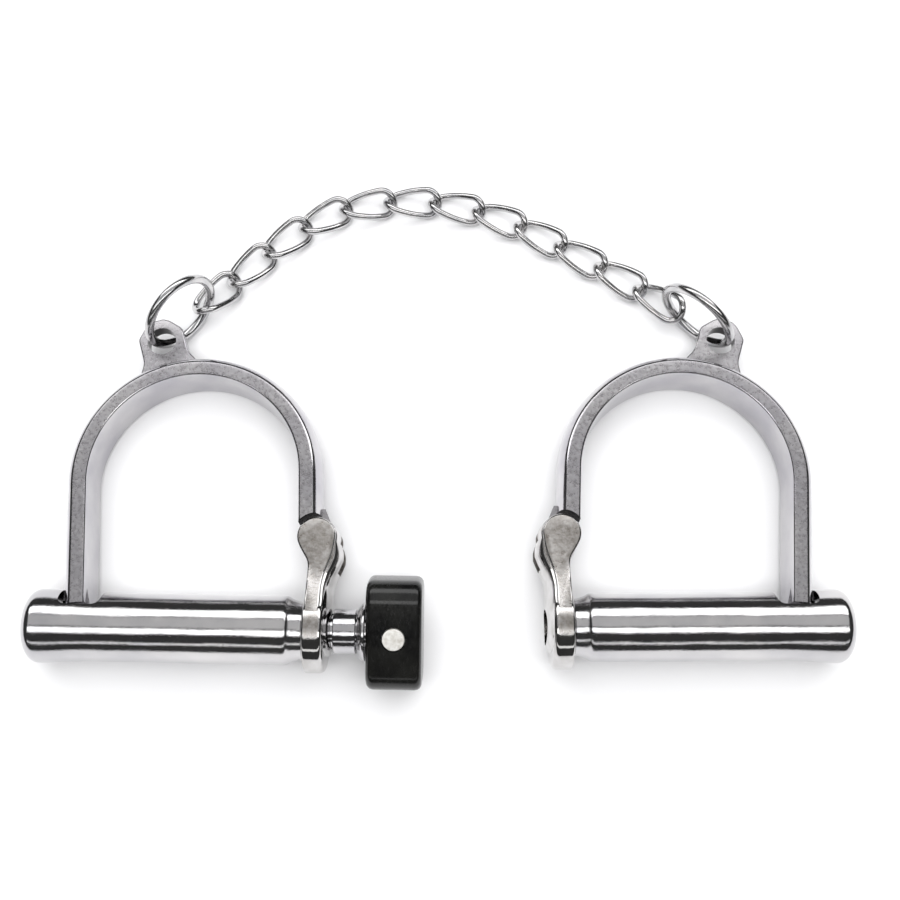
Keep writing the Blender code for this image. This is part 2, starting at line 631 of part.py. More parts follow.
def mirror_cuff(pieces, left_frame, right_frame):
    """Mirror image of the finished left cuff's pieces, under the right cuff's frame."""
    flip = Matrix.Diagonal((-1, 1, 1, 1))
    graph = bpy.context.evaluated_depsgraph_get()
    inverse = left_frame.matrix_world.inverted()
    for piece in pieces:
        mesh = bpy.data.meshes.new_from_object(piece.evaluated_get(graph), depsgraph=graph)
        if piece.type == "CURVE":
            weld_caps(mesh)
        mesh.transform(flip)
        mesh.flip_normals()
        mesh.materials.clear()
        copy = add_piece(f"right_{piece.name}", mesh, None, right_frame)
        mesh.materials.append(piece.data.materials[0].copy())
        copy.matrix_local = flip @ (inverse @ piece.matrix_world) @ flip
        piece.name = f"left_{piece.name}"


def weld_caps(mesh):
    """Join the loose end caps of a tube to its wall."""
    shape = bmesh.new()
    shape.from_mesh(mesh)
    bmesh.ops.remove_doubles(shape, verts=shape.verts, dist=0.000005)
    shape.to_mesh(mesh)
    shape.free()


def chain_run(left_hole):
    """Lay the left ring, the links and the right ring one after another; return the right lug's hole."""
    along, upward, to_hole, to_hook = ring_spots(LEFT_HEADING, 1, LEFT_LEAN, left_hole.z)
    centre = left_hole - to_hole
    add_ring("left_ring", centre, along, upward, left_hole)
    hook = centre + to_hook

    lying = max(abs(spot.z) for spot in link_points()) + LINK_WIRE_R
    reach = LINK_LENGTH / 2 - LINK_WIRE_R
    slope = math.asin((hook.z - lying) / (reach + LINK_PITCH / 2))
    last = len(LINK_HEADINGS) - 1
    joint = hook
    for index, degrees in enumerate(LINK_HEADINGS):
        direction = flat_heading(math.radians(degrees))
        before = after = LINK_PITCH / 2
        if index == 0:
            direction = direction * math.cos(slope) - Vector((0, 0, math.sin(slope)))
            before = reach
        if index == last:
            direction = direction * math.cos(slope) + Vector((0, 0, math.sin(slope)))
            after = reach
        centre = joint + direction * before
        add_link(f"link_{index + 1:02d}", centre, direction, joint)
        joint = centre + direction * after

    along, upward, to_hole, to_hook = ring_spots(RIGHT_HEADING, -1, RIGHT_LEAN, left_hole.z)
    centre = joint - to_hook
    add_ring("right_ring", centre, along, upward, joint)
    return centre + to_hole


def stand_on_origin():
    """Move the whole set so that its box stands on Z = 0, centred on the origin."""
    bpy.context.view_layer.update()
    graph = bpy.context.evaluated_depsgraph_get()
    corners = []
    for piece in PARTS.objects:
        if piece.type in {"MESH", "CURVE"}:
            mesh = piece.evaluated_get(graph).to_mesh()
            corners += [piece.matrix_world @ vertex.co for vertex in mesh.vertices]
    low = [min(spot[k] for spot in corners) for k in range(3)]
    high = [max(spot[k] for spot in corners) for k in range(3)]
    shift = Vector((-(low[0] + high[0]) / 2, -(low[1] + high[1]) / 2, -low[2]))
    for piece in PARTS.objects:
        if piece.parent is None:
            piece.location += shift


def build():
    """Left cuff with its key, the chain, and the right cuff where the chain ends."""
    left_frame = add_empty("left_cuff")
    turn, height = cuff_attitude(1, LEFT_YAW)
    left_frame.matrix_world = Matrix.Translation((*LEFT_PLACE, height)) @ turn
    pieces = cuff(left_frame)
    bpy.context.view_layer.update()

    right_hole = chain_run(left_frame.matrix_world @ lug_hole())
    right_frame = add_empty("right_cuff")
    turn, height = cuff_attitude(-1, RIGHT_YAW)
    own_hole = Vector((-lug_hole().x, lug_hole().y, 0))
    place = right_hole - turn @ own_hole
    right_frame.matrix_world = Matrix.Translation((place.x, place.y, height)) @ turn
    bpy.context.view_layer.update()
    mirror_cuff(pieces, left_frame, right_frame)
    key(add_empty("key_turn", left_frame))
    stand_on_origin()


build()
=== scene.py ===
import json
import math

import bmesh
import bpy
import numpy as np
from mathutils import Matrix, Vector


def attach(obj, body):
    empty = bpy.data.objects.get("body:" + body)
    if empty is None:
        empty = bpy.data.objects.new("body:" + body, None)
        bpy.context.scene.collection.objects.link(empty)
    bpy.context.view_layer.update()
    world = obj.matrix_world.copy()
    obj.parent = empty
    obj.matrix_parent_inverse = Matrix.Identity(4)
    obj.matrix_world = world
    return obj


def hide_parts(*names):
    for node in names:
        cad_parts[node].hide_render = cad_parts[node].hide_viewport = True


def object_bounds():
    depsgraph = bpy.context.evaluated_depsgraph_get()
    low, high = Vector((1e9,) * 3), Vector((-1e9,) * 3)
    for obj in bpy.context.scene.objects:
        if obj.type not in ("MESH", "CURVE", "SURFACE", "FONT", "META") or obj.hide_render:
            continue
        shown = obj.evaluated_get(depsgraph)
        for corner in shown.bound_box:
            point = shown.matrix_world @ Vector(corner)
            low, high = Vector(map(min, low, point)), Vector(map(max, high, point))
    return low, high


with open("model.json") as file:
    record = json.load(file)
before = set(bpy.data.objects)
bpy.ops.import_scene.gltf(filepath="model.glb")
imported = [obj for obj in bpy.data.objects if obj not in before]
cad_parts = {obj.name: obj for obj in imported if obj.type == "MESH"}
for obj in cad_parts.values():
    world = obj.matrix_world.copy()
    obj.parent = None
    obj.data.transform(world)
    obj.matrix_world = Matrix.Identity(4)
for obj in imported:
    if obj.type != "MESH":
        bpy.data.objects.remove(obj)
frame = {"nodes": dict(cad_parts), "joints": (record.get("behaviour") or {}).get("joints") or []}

cad_low, cad_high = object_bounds()


# --- Lock barrels -------------------------------------------------------------------------------------
# Each cuff closes on a drawn steel tube with a tapered neck, a rounded, flared closed end, and an
# opening milled across its side for the bow's tongue. It is polished bright and plated, so every band
# of light runs along it.

PIN_X = 0.0699
PIN_Y = 0.0223
BARREL_LENGTH = 0.0676
BARREL_R = 0.0084
FLARE_R = 0.00898
BORE_R = 0.0062
PLUG_R = 0.0054
PLUG_STEP = 0.0036

joints = {joint["name"]: joint for joint in frame["joints"]}


def cuff_place(side):
    """Matrix from a cuff's drawing to its place: drawing X runs from the flared end to the arm, Y to
    the top of the bow and Z out of its flat side. The right cuff is the drawing's mirror image, so its
    X is turned round."""
    along = -np.array(joints[f"{side}_bolt_slide"]["axis"])
    out = -np.array(joints[f"{side}_bow_hinge"]["axis"])
    hand = 1 if side == "left" else -1
    up = hand * np.cross(out, along)
    origin = np.array(joints[f"{side}_bow_hinge"]["pos_m"]) - PIN_X * along - PIN_Y * up
    place = np.eye(4)
    place[:3] = np.stack([along, up, out, origin], axis=1)
    return Matrix(place)


def skin(name, grid, loop=False):
    """Closed mesh over a grid of points. Each row is a closed ring and is joined to the next row; loop
    joins the last row to the first, and otherwise a flat face closes each end. Rows that meet in a
    point become a pole."""
    rows, round_count = grid.shape[:2]
    index = np.arange(rows * round_count).reshape(rows, round_count)
    here = index if loop else index[:-1]
    after = np.roll(index, -1, axis=0) if loop else index[1:]
    quads = np.stack([here, np.roll(here, -1, axis=1), np.roll(after, -1, axis=1), after], axis=-1)
    faces = quads.reshape(-1, 4).tolist()
    if not loop:
        faces += [index[0].tolist(), index[-1].tolist()]
    mesh = bpy.data.meshes.new(name)
    mesh.from_pydata(grid.reshape(-1, 3).tolist(), [], faces)
    shape = bmesh.new()
    shape.from_mesh(mesh)
    bmesh.ops.remove_doubles(shape, verts=shape.verts, dist=0.0000005)
    bmesh.ops.dissolve_degenerate(shape, edges=shape.edges, dist=0.0000001)
    bmesh.ops.recalc_face_normals(shape, faces=shape.faces)
    shape.to_mesh(mesh)
    shape.free()
    return mesh


def soften(corners, steps):
    """Closed outline with rounded corners. Corners are (x, y, radius) rows. The round at a corner P
    starts at A and ends at B, a radius away along its two sides, and is the curve (1-t)^2 A + 2t(1-t) P
    + t^2 B."""
    corners = np.array(corners, float)
    spot = corners[:, :2]
    to_before = np.roll(spot, 1, axis=0) - spot
    to_after = np.roll(spot, -1, axis=0) - spot
    reach = corners[:, 2]
    share_before = np.minimum(reach / np.linalg.norm(to_before, axis=1), 0.48)
    share_after = np.minimum(reach / np.linalg.norm(to_after, axis=1), 0.48)
    first = spot + to_before * share_before[:, None]
    last = spot + to_after * share_after[:, None]
    t = np.linspace(0, 1, steps)[None, :, None]
    curve = (1 - t) ** 2 * first[:, None] + 2 * t * (1 - t) * spot[:, None] + t ** 2 * last[:, None]
    return curve.reshape(-1, 2)


def turn(name, profile, sides):
    """Surface turned about X from (x, radius) points: (x, r cos a, r sin a) for a all the way round."""
    a = np.linspace(0, 2 * np.pi, sides, endpoint=False)
    x = np.repeat(profile[:, :1], sides, axis=1)
    y = profile[:, 1:] * np.cos(a)
    z = profile[:, 1:] * np.sin(a)
    return skin(name, np.stack([x, y, z], axis=-1), True)


def plate(name, outline, low, high, edge=0.0):
    """Flat outline made solid from low to high, with rounded rims: near each face the outline shrinks
    by edge (1 - cos q) while the height rises by edge sin q."""
    outline = np.asarray(outline, float)
    tangent = np.roll(outline, -1, axis=0) - np.roll(outline, 1, axis=0)
    length = np.maximum(np.linalg.norm(tangent, axis=1, keepdims=True), 1e-9)
    normal = np.stack([tangent[:, 1], -tangent[:, 0]], axis=1) / length
    swept = outline[:, 0] * np.roll(outline[:, 1], -1) - np.roll(outline[:, 0], -1) * outline[:, 1]
    normal = normal * np.sign(swept.sum())
    q = np.linspace(0, np.pi / 2, 5) if edge else np.zeros(1)
    shrink = np.concatenate([edge * (1 - np.cos(q[::-1])), edge * (1 - np.cos(q))])
    height = np.concatenate([low + edge - edge * np.sin(q[::-1]), high - edge + edge * np.sin(q)])
    flat = outline[None] - normal[None] * shrink[:, None, None]
    tall = np.broadcast_to(height[:, None, None], flat.shape[:2] + (1,))
    return skin(name, np.concatenate([flat, tall], axis=-1))


def combine(mesh, other, operation):
    """Joins another closed mesh to this one, or cuts it away, and gives back the finished mesh."""
    piece = bpy.data.objects.new("work", mesh)
    tool = bpy.data.objects.new("tool", other)
    for item in (piece, tool):
        bpy.context.scene.collection.objects.link(item)
    change = piece.modifiers.new("combine", "BOOLEAN")
    change.operation = operation
    change.solver = "EXACT"
    change.object = tool
    graph = bpy.context.evaluated_depsgraph_get()
    result = bpy.data.meshes.new_from_object(piece.evaluated_get(graph), depsgraph=graph)
    result.name = mesh.name
    bpy.data.objects.remove(piece)
    bpy.data.objects.remove(tool)
    return result


def show(mesh, name, body, node, finish, sharp=35):
    """Puts a finished mesh in the scene, riding on its body in place of its plain node."""
    mesh.shade_smooth()
    mesh.set_sharp_from_angle(angle=math.radians(sharp))
    mesh.materials.clear()
    mesh.materials.append(finish)
    piece = bpy.data.objects.new(name, mesh)
    bpy.context.scene.collection.objects.link(piece)
    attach(piece, body)
    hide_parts(node)


def fit_to_cuffs(mesh, name, body, node, finish, sharp=35):
    """The same drawing on both cuffs; the right one is mirrored, so its faces are turned to point out
    again."""
    for side in ("left", "right"):
        own = mesh.copy()
        own.transform(cuff_place(side))
        if side == "right":
            own.flip_normals()
        show(own, f"{side}_{name}", f"{side}_{body}", f"{side}_{node}", finish, sharp)


def new_finish(name, metallic, specular=0.5):
    """Material with a Principled shader, and object coordinates for the nodes that shape it."""
    finish = bpy.data.materials.new(name)
    finish.use_nodes = True
    nodes = finish.node_tree.nodes
    links = finish.node_tree.links
    shader = nodes["Principled BSDF"]
    shader.inputs["Metallic"].default_value = metallic
    shader.inputs["Specular IOR Level"].default_value = specular
    place = nodes.new("ShaderNodeTexCoord")
    return finish, nodes, links, shader, place.outputs["Object"]


def noise(nodes, links, place, scale, detail=3.0, stretch=(1, 1, 1), roughness=0.5):
    """Noise over the object's own coordinates, stretched along an axis where stretch is below 1."""
    spread = nodes.new("ShaderNodeMapping")
    spread.inputs["Scale"].default_value = stretch
    links.new(place, spread.inputs["Vector"])
    grain = nodes.new("ShaderNodeTexNoise")
    grain.inputs["Scale"].default_value = scale
    grain.inputs["Detail"].default_value = detail
    grain.inputs["Roughness"].default_value = roughness
    links.new(spread.outputs["Vector"], grain.inputs["Vector"])
    return grain.outputs["Fac"]


def spread_to(nodes, links, value, low, high, start=0.3, end=0.7):
    """A value between start and end carried over to the range from low to high."""
    ranged = nodes.new("ShaderNodeMapRange")
    ranged.inputs["From Min"].default_value = start
    ranged.inputs["From Max"].default_value = end
    ranged.inputs["To Min"].default_value = low
    ranged.inputs["To Max"].default_value = high
    links.new(value, ranged.inputs["Value"])
    return ranged.outputs["Result"]


def blend_colours(nodes, links, value, first, second, start=0.35, end=0.65):
    """Colour that goes from first to second as the value rises."""
    ramp = nodes.new("ShaderNodeValToRGB")
    ramp.color_ramp.elements[0].position = start
    ramp.color_ramp.elements[0].color = (*first, 1)
    ramp.color_ramp.elements[1].position = end
    ramp.color_ramp.elements[1].color = (*second, 1)
    links.new(value, ramp.inputs["Fac"])
    return ramp.outputs["Color"]


def bumps(nodes, links, shader, layers):
    """Bump layers, each (height value, depth in metres, strength), stacked one on the next."""
    before = None
    for height, depth, strength in layers:
        bump = nodes.new("ShaderNodeBump")
        bump.inputs["Distance"].default_value = depth
        bump.inputs["Strength"].default_value = strength
        links.new(height, bump.inputs["Height"])
        if before:
            links.new(before, bump.inputs["Normal"])
        before = bump.outputs["Normal"]
    links.new(before, shader.inputs["Normal"])


def polished_plate():
    """Bright plate over polished steel: slow waves from the polishing wheel, hairlines along the tube,
    and patches of fine pitting that catch the light."""
    finish, nodes, links, shader, place = new_finish("polished_plate", 1.0)
    tone = noise(nodes, links, place, 60, 4.0)
    colour = blend_colours(nodes, links, tone, (0.50, 0.495, 0.51), (0.62, 0.61, 0.61))
    links.new(colour, shader.inputs["Base Color"])
    hairlines = noise(nodes, links, place, 2600, 3.0, (0.04, 1, 1))
    waves = noise(nodes, links, place, 150, 2.0, (0.35, 1, 1))
    pits = noise(nodes, links, place, 1500, 4.0, (1, 1, 1), 0.7)
    specks = noise(nodes, links, place, 3200, 4.0, (0.5, 1, 1), 0.7)
    dull = spread_to(nodes, links, hairlines, 0.05, 0.13)
    links.new(dull, shader.inputs["Roughness"])
    bumps(nodes, links, shader, [(waves, 0.00040, 0.40), (hairlines, 0.000012, 0.45), (pits, 0.000045, 0.45),
                                 (specks, 0.000020, 0.45)])
    return finish


plate_finish = polished_plate()

barrel_outline = soften([
    (BARREL_LENGTH, 0.00695, 0.0004), (0.0662, 0.00705, 0.0010), (0.0645, 0.00765, 0.0007),
    (0.0634, 0.00840, 0.0010), (0.0128, BARREL_R, 0.0040), (0.0048, FLARE_R, 0.0040),
    (0.0018, FLARE_R, 0.0018), (0.00002, 0.00700, 0.0014), (0.00002, PLUG_R, 0.0001),
    (PLUG_STEP, PLUG_R, 0.0001), (PLUG_STEP, BORE_R, 0.0001), (BARREL_LENGTH, BORE_R, 0.0001)], 10)
barrel = turn("barrel", barrel_outline, 160)
NOTCH_LOW_X = 0.0082
NOTCH_HIGH_X = 0.0184
NOTCH_FLOOR_Y = 0.0043
NOTCH_TOP_Y = 0.0120
PAST_BARREL = 0.0100
opening = soften([(NOTCH_LOW_X, NOTCH_FLOOR_Y, 0.0022), (NOTCH_HIGH_X, NOTCH_FLOOR_Y, 0.0022),
                  (NOTCH_HIGH_X, NOTCH_TOP_Y, 0.0001), (NOTCH_LOW_X, NOTCH_TOP_Y, 0.0001)], 8)
barrel = combine(barrel, plate("opening", opening, -PAST_BARREL, PAST_BARREL), "DIFFERENCE")
fit_to_cuffs(barrel, "barrel_tube", "frame", "barrel", plate_finish)


# --- End plugs ----------------------------------------------------------------------------------------
# A flanged disc closes the flared end. It is turned from bar, pressed against a step inside the tube
# and faced flat, so fine tool marks still show under the plate.

def turned_plate():
    """Plated, turned face: scuffs and fine tool marks under the plate."""
    finish, nodes, links, shader, place = new_finish("turned_plate", 1.0)
    tone = noise(nodes, links, place, 180, 3.0)
    colour = blend_colours(nodes, links, tone, (0.46, 0.46, 0.47), (0.58, 0.57, 0.57))
    links.new(colour, shader.inputs["Base Color"])
    scuffs = noise(nodes, links, place, 1400, 5.0)
    links.new(spread_to(nodes, links, scuffs, 0.08, 0.20), shader.inputs["Roughness"])
    fine = noise(nodes, links, place, 5200, 2.0, (0.15, 1, 1))
    bumps(nodes, links, shader, [(fine, 0.000006, 0.5), (scuffs, 0.000012, 0.3)])
    return finish


turned_finish = turned_plate()
FIT_GAP = 0.0003
FLANGE_X = 0.0056
PLUG_FACE_X = 0.0001
plug_outline = soften([
    (FLANGE_X, 0.0, 0.0), (FLANGE_X, BORE_R - FIT_GAP, 0.0002),
    (PLUG_STEP + FIT_GAP, BORE_R - FIT_GAP, 0.0001), (PLUG_STEP + FIT_GAP, PLUG_R - FIT_GAP, 0.0001),
    (PLUG_FACE_X, PLUG_R - FIT_GAP, 0.0004), (PLUG_FACE_X, 0.0, 0.0)], 6)
plug = turn("plug", plug_outline, 96)
fit_to_cuffs(plug, "plug_disc", "frame", "end_plug", turned_finish)


# --- Hinge arms ---------------------------------------------------------------------------------------
# The arm is a small forging, screwed to the barrel's neck: a round foot with the keyhole, a half-round
# stem and a forked knuckle that bulges outwards. Its flat side keeps the grain of the forging under the
# plate.

def arithmetic(nodes, links, operation, first, second):
    """One step of arithmetic on two values, the second of which may be a plain number."""
    step = nodes.new("ShaderNodeMath")
    step.operation = operation
    links.new(first, step.inputs[0])
    if isinstance(second, float):
        step.inputs[1].default_value = second
    else:
        links.new(second, step.inputs[1])
    return step.outputs["Value"]


def on_flat_side(nodes, links, low, start, end):
    """Value that is 1 where the surface faces along Z and falls to low as it turns away: the share
    between start and end of the squared Z of the surface's own direction."""
    facing = nodes.new("ShaderNodeTexCoord").outputs["Normal"]
    parts = nodes.new("ShaderNodeSeparateXYZ")
    links.new(facing, parts.inputs["Vector"])
    squared = arithmetic(nodes, links, "POWER", parts.outputs["Z"], 2.0)
    return spread_to(nodes, links, squared, low, 1.0, start, end)


def lay_over(nodes, links, amount, under, over):
    """Colour under, covered by the plain colour over to the given amount."""
    cover = nodes.new("ShaderNodeMix")
    cover.data_type = "RGBA"
    cover.inputs["B"].default_value = (*over, 1)
    links.new(amount, cover.inputs["Factor"])
    links.new(under, cover.inputs["A"])
    return cover.outputs["Result"]


def forged_plate():
    """Plate over a forging: grain about half a millimetre across with finer pitting in it. The flat
    sides, where the surface faces along Z, are rougher, darker and slightly brown beside the polished
    crown and rims."""
    finish, nodes, links, shader, place = new_finish("forged_plate", 1.0)
    flat_side = on_flat_side(nodes, links, 0.0, 0.86, 0.985)
    lumps = noise(nodes, links, place, 850, 5.0, (1, 1, 1), 0.65)
    pits = noise(nodes, links, place, 2600, 3.0)
    tone = noise(nodes, links, place, 260, 4.0)
    colour = blend_colours(nodes, links, tone, (0.48, 0.47, 0.46), (0.62, 0.61, 0.61))
    soiling = arithmetic(nodes, links, "MULTIPLY", spread_to(nodes, links, lumps, 0.95, 0.45), flat_side)
    links.new(lay_over(nodes, links, soiling, colour, (0.20, 0.18, 0.16)), shader.inputs["Base Color"])
    dull = arithmetic(nodes, links, "MULTIPLY", spread_to(nodes, links, lumps, 0.20, 0.36), flat_side)
    links.new(arithmetic(nodes, links, "ADD", dull, 0.06), shader.inputs["Roughness"])
    grain = arithmetic(nodes, links, "MULTIPLY", lumps, flat_side)
    bumps(nodes, links, shader, [(grain, 0.00012, 0.60), (pits, 0.000015, 0.30)])
    return finish


forged_finish = forged_plate()
FOOT_X = BARREL_LENGTH + FIT_GAP
FOOT_THICK = 0.0051
FOOT_R = 0.0102
STEM_X = 0.0682
STEM_THICK = 0.0038
STEM_TOP_Y = 0.0148
STEM_CROWN = 0.0023
KNUCKLE_R = 0.0048
HALF_WIDTH = 0.0065
STEM_SPREAD = 0.0032
CHEEK_HEIGHT = 0.0040
CHEEK_DEPTH = 0.0022
KNUCKLE_SWELL = 0.0011


def round_bar(radius, low, high, centre=(0.0, 0.0), sides=96):
    """Plain round bar along Z, used as a cutter or a union."""
    a = np.linspace(0, 2 * np.pi, sides, endpoint=False)
    outline = np.stack([centre[0] + radius * np.cos(a), centre[1] + radius * np.sin(a)], axis=1)
    return plate("bar", outline, low, high)


def arm_body():
    """Side outline lofted across the width: at a share s = sin t of the half width the outer side
    stands out by swell cos t, so the back is flat and the outside is crowned. The flat sides end in
    small rounds, spread as they come down the stem, and stay just under the foot's rim, sqrt(r^2 -
    y^2), below its middle."""
    edge = STEM_X + STEM_THICK
    inner_y = np.linspace(-0.0070, STEM_TOP_Y, 24)
    inner = np.stack([np.full(24, STEM_X), inner_y, np.zeros(24)], axis=1)
    cheek_t = np.linspace(0, 1, 8)[1:-1]
    cheek_x = STEM_X - CHEEK_DEPTH * cheek_t ** 2
    cheek = np.stack([cheek_x, STEM_TOP_Y + CHEEK_HEIGHT * cheek_t, 0 * cheek_t], axis=1)
    a = np.radians(np.linspace(212, -12, 48))
    swell = KNUCKLE_SWELL * np.maximum(0, np.cos(a)) ** 2
    knuckle = np.stack([PIN_X + KNUCKLE_R * np.cos(a), PIN_Y + KNUCKLE_R * np.sin(a), swell], axis=1)
    knots_y = np.array([0.0213, 0.0190, 0.0170, 0.0150, 0.0128, 0.0100, 0.0060])
    knots_x = edge + np.array([0.0026, 0.0023, 0.0018, 0.0011, 0.0004, 0.0, 0.0])
    knots_swell = np.array([0.0012, 0.0024, 0.0030, 0.0029, 0.0026, STEM_CROWN, STEM_CROWN])
    outer_y = np.linspace(0.0205, 0.0062, 30)
    outer = np.stack([np.interp(-outer_y, -knots_y, knots_x), outer_y,
                      np.interp(-outer_y, -knots_y, knots_swell)], axis=1)
    low_y = np.linspace(0.0056, -0.0066, 12)
    low = np.stack([np.full(12, edge), low_y, np.full(12, STEM_CROWN)], axis=1)
    outline = np.concatenate([inner, cheek, knuckle, outer, low])
    for _ in range(3):
        outline[:, :2] = (np.roll(outline, 1, axis=0) + 2 * outline + np.roll(outline, -1, axis=0))[:, :2] / 4
    rim = 0.0005
    q = np.linspace(0, np.pi / 2, 5)[1:]
    t = np.linspace(-np.pi / 2, np.pi / 2, 29)
    share = np.concatenate([np.full(4, -1.0), np.sin(t), np.full(4, 1.0)])
    crown = np.concatenate([np.zeros(4), np.cos(t), np.zeros(4)])
    shrink = np.concatenate([rim * (1 - np.cos(q[::-1])), 0 * t, rim * (1 - np.cos(q))])
    lift = np.concatenate([-rim * np.sin(q[::-1]), 0 * t, rim * np.sin(q)])
    tangent = np.roll(outline[:, :2], -1, axis=0) - np.roll(outline[:, :2], 1, axis=0)
    length = np.linalg.norm(tangent, axis=1, keepdims=True)
    normal = np.stack([-tangent[:, 1], tangent[:, 0]], axis=1) / length
    x = outline[None, :, 0] + outline[None, :, 2] * crown[:, None] - normal[None, :, 0] * shrink[:, None]
    y = outline[None, :, 1] - normal[None, :, 1] * shrink[:, None]
    widen = np.clip((0.0165 - outline[:, 1]) / 0.0140, 0, 1)
    half = HALF_WIDTH - rim + STEM_SPREAD * widen * widen * (3 - 2 * widen)
    foot_chord = np.sqrt(np.maximum(FOOT_R ** 2 - np.minimum(outline[:, 1], 0) ** 2, 0)) - rim - 0.0002
    half = np.minimum(half, foot_chord)
    z = share[:, None] * half[None] + lift[:, None]
    return skin("arm", np.stack([x, y, z], axis=-1))


FOOT_END = FOOT_X + FOOT_THICK
SPIGOT_R = BORE_R - FIT_GAP
SPIGOT_X = FOOT_X - 0.0038
foot_outline = soften([
    (FOOT_END, 0.0, 0.0), (FOOT_END, FOOT_R, 0.0016), (FOOT_X, FOOT_R, 0.0007),
    (FOOT_X, SPIGOT_R, 0.0001), (SPIGOT_X, SPIGOT_R, 0.0003), (SPIGOT_X, 0.0, 0.0)], 8)
arm = combine(arm_body(), turn("foot", foot_outline, 128), "UNION")
along_x = Matrix.Rotation(math.radians(90), 4, "Y")
KEYHOLE_R = 0.0043
keyhole = round_bar(KEYHOLE_R, 0.0550, 0.0800)
keyhole.transform(along_x)
arm = combine(arm, keyhole, "DIFFERENCE")
FORK_GAP = 0.0050
fork = [(0.0600, 0.0158), (0.0705, 0.0158), (0.0800, 0.0118), (0.0800, 0.0300), (0.0600, 0.0300)]
PAST_BAR = 0.0080
PIN_HOLE_TOP = 0.0055
arm = combine(arm, plate("fork", fork, -FORK_GAP / 2, FORK_GAP / 2), "DIFFERENCE")
PIN_R = 0.0016
pin_hole = round_bar(PIN_R + FIT_GAP, -PAST_BAR, PIN_HOLE_TOP, (PIN_X, PIN_Y))
arm = combine(arm, pin_hole, "DIFFERENCE")
fit_to_cuffs(arm, "arm_forging", "frame", "hinge_arm", forged_finish)


# --- Hinge pins ---------------------------------------------------------------------------------------
# A plain steel pin is driven into the knuckle from below, to just under the skin on the upper side, and
# its end is ground level. The ground end is bare steel with a fine scratch pattern.

def bare_steel():
    """Machined steel: darker than plate, with fine tool marks and a cloudy tone."""
    finish, nodes, links, shader, place = new_finish("bare_steel", 1.0)
    tone = noise(nodes, links, place, 400, 4.0)
    colour = blend_colours(nodes, links, tone, (0.38, 0.38, 0.39), (0.55, 0.54, 0.53))
    links.new(colour, shader.inputs["Base Color"])
    marks = noise(nodes, links, place, 3800, 3.0, (0.2, 1, 1))
    links.new(spread_to(nodes, links, marks, 0.22, 0.42), shader.inputs["Roughness"])
    bumps(nodes, links, shader, [(marks, 0.00001, 0.5)])
    return finish


steel_finish = bare_steel()
PIN_LOW = -0.0064
PIN_HIGH = 0.0052
PIN_EDGE = 0.0002
a = np.linspace(0, 2 * np.pi, 64, endpoint=False)
pin_round = np.stack([PIN_X + PIN_R * np.cos(a), PIN_Y + PIN_R * np.sin(a)], axis=1)
pin = plate("pin", pin_round, PIN_LOW, PIN_HIGH, PIN_EDGE)
fit_to_cuffs(pin, "pin_rod", "frame", "hinge_pin", steel_finish)


# --- Lock inside each barrel --------------------------------------------------------------------------
# A turned bolt slides in the bore. A wire spring throws it into the tongue's catch and a bush guides
# its stem, whose threaded tail the screw key draws back. The pieces are plain machined steel, greased
# and never plated.

BUSH_X = 0.0500
BUSH_LENGTH = 0.0080
STEM_R = 0.0026
bush_outline = soften([
    (BUSH_X + BUSH_LENGTH, SPIGOT_R, 0.0004), (BUSH_X, SPIGOT_R, 0.0002),
    (BUSH_X, STEM_R + FIT_GAP, 0.0002), (BUSH_X + BUSH_LENGTH, STEM_R + FIT_GAP, 0.0003)], 5)
bush = turn("bush", bush_outline, 80)
fit_to_cuffs(bush, "bush_ring", "frame", "guide_bush", steel_finish)


def round_wire(name, path, radius, sides, loop):
    """Round wire along a path: each ring is centre + r (u cos a + w sin a), where u and w are square to
    the path. u is carried along by taking out of the last u what lies along the new direction."""
    ahead = np.roll(path, -1, axis=0) - np.roll(path, 1, axis=0)
    if not loop:
        ahead[0] = path[1] - path[0]
        ahead[-1] = path[-1] - path[-2]
    ahead = ahead / np.linalg.norm(ahead, axis=1, keepdims=True)
    u = np.empty_like(path)
    start = np.cross(ahead[0], (0.31, 0.17, 0.93))
    for k, forward in enumerate(ahead):
        start = start - forward * (start @ forward)
        start = start / np.linalg.norm(start)
        u[k] = start
    w = np.cross(ahead, u)
    a = np.linspace(0, 2 * np.pi, sides, endpoint=False)
    if loop:
        slip = math.atan2(u[0] @ w[-1], u[0] @ u[-1])
        a = a[None] + (slip * np.linspace(0, 1, len(path)))[:, None]
    else:
        a = np.repeat(a[None], len(path), axis=0)
    grid = path[:, None] + radius * (u[:, None] * np.cos(a)[..., None] + w[:, None] * np.sin(a)[..., None])
    return skin(name, grid, loop)


SPRING_START = 0.02925
SPRING_END = 0.04925
SPRING_TURNS = 7
SPRING_R = 0.0046
SPRING_WIRE_R = 0.00045
t = np.linspace(0, 1, SPRING_TURNS * 28 + 1)
coil_angle = 2 * np.pi * SPRING_TURNS * t
closing = np.clip(np.minimum(t, 1 - t) * SPRING_TURNS, 0, 1)
rise = np.cumsum(0.15 + closing)
rise = (rise - rise[0]) / (rise[-1] - rise[0])
coil = np.stack([SPRING_START + (SPRING_END - SPRING_START) * rise,
                 SPRING_R * np.cos(coil_angle), SPRING_R * np.sin(coil_angle)], axis=1)
spring = round_wire("spring", coil, SPRING_WIRE_R, 12, False)
fit_to_cuffs(spring, "spring_coil", "frame", "bolt_spring", steel_finish)

THREAD_PITCH = 0.0010
THREAD_DEPTH = 0.0004
HEAD_FACE_X = 0.0235
HEAD_BACK_X = 0.0285
NOSE_R = 0.0022
NOSE_TIP_X = 0.0180
TAIL_R = 0.0023
TAIL_TIP_X = 0.0715


